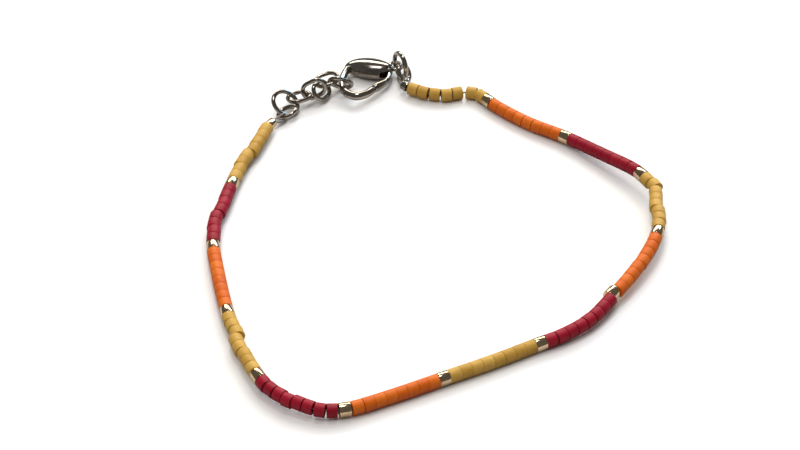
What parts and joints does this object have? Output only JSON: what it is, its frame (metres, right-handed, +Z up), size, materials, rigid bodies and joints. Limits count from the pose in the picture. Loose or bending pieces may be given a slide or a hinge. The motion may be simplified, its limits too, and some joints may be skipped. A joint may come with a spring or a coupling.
{
  "type": "glass bead bracelet",
  "caption": "Glass bead bracelet of yellow, red and orange cylinder beads with gold spacers, a short cable chain and a lobster clasp, lying closed in an open loop.",
  "frame": {"origin": "on the surface that the bracelet lies on, under the middle of its bounding box", "axes": "+Z up from the surface, +Y along the loop's longer way towards the clasp"},
  "size_m": [0.0524, 0.0658, 0.0037],
  "materials": {
    "yellow_glass": "matte opaque",
    "red_glass": "matte opaque",
    "orange_glass": "matte opaque",
    "gold": "polished",
    "steel": "polished",
    "thread": "translucent nylon"
  },
  "bodies": {
    "bracelet": {"run_01_yellow": "yellow_glass", "run_02_red": "red_glass", "run_03_orange": "orange_glass", "run_04_yellow": "yellow_glass", "run_05_red": "red_glass", "run_06_orange": "orange_glass", "run_07_yellow": "yellow_glass", "run_08_red": "red_glass", "run_09_orange": "orange_glass", "run_10_yellow": "yellow_glass", "run_11_red": "red_glass", "run_12_orange": "orange_glass", "run_13_yellow": "yellow_glass", "spacer_01": "gold", "spacer_02": "gold", "spacer_03": "gold", "spacer_04": "gold", "spacer_05": "gold", "spacer_06": "gold", "spacer_07": "gold", "spacer_08": "gold", "spacer_09": "gold", "spacer_10": "gold", "spacer_11": "gold", "spacer_12": "gold", "end_ring_small": "steel", "end_ring_large": "steel", "link_1": "steel", "link_2": "steel", "link_3": "steel", "link_4": "steel", "link_5": "steel", "tail_ring_large": "steel", "tail_ring_small": "steel", "crimp_chain_end": "gold", "crimp_clasp_end": "steel", "thread": "thread", "clasp_body": "steel", "lever_pin": "steel"},
    "lever": {"clasp_lever": "steel"}
  },
  "joints": [
    {"name": "lever_hinge", "type": "hinge", "parent": "bracelet", "child": "lever", "pos_m": [-0.00562, 0.03028, 0.00114], "axis": [0, 0, -1], "range_deg": [0, 18], "stiffness_Nm_per_rad": 0.01, "springref_deg": -11.46}
  ]
}
